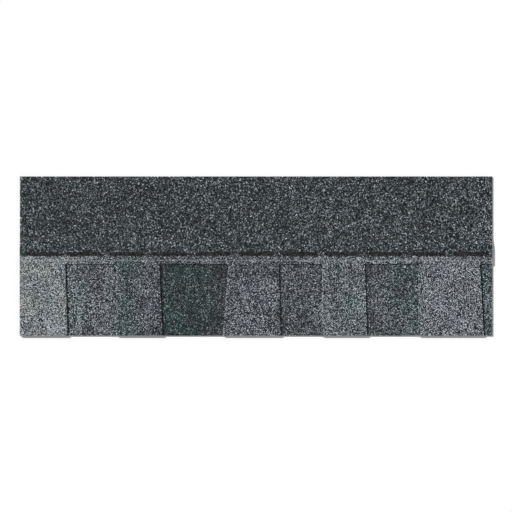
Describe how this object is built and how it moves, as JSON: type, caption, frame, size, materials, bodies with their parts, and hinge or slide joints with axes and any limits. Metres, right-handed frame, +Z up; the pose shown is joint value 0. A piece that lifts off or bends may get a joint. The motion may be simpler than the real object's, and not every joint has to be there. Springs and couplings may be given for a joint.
{
  "type": "laminated asphalt shingle",
  "caption": "Flat laminated roofing shingle: a granule-faced sheet with die-cut splayed teeth, bonded over a narrower backing strip, with seal dashes on the face and a release film on the back.",
  "frame": {"origin": "on the floor, under the middle of the shingle", "axes": "+X along the course, to the right as seen on the roof; +Y up the slope, from the butt edge to the top edge; +Z up, out of the granule face"},
  "size_m": [1, 0.337, 0.0056],
  "materials": {
    "tooth_granules": "ceramic-coated mineral granules bedded in black asphalt, rough and matte",
    "backing_granules": "darker ceramic-coated mineral granules bedded in black asphalt, rough and matte",
    "seal_asphalt": "glossy black self-sealing asphalt",
    "release_film": "thin clear release film over black coating"
  },
  "bodies": {
    "root": {"tooth_sheet": "tooth_granules", "backing_strip": "backing_granules", "release_film": "release_film", "seal_dash_01": "seal_asphalt", "seal_dash_02": "seal_asphalt", "seal_dash_03": "seal_asphalt", "seal_dash_04": "seal_asphalt", "seal_dash_05": "seal_asphalt", "seal_dash_06": "seal_asphalt", "seal_dash_07": "seal_asphalt", "seal_dash_08": "seal_asphalt", "seal_dash_09": "seal_asphalt", "seal_dash_10": "seal_asphalt", "seal_dash_11": "seal_asphalt"}
  },
  "joints": []
}
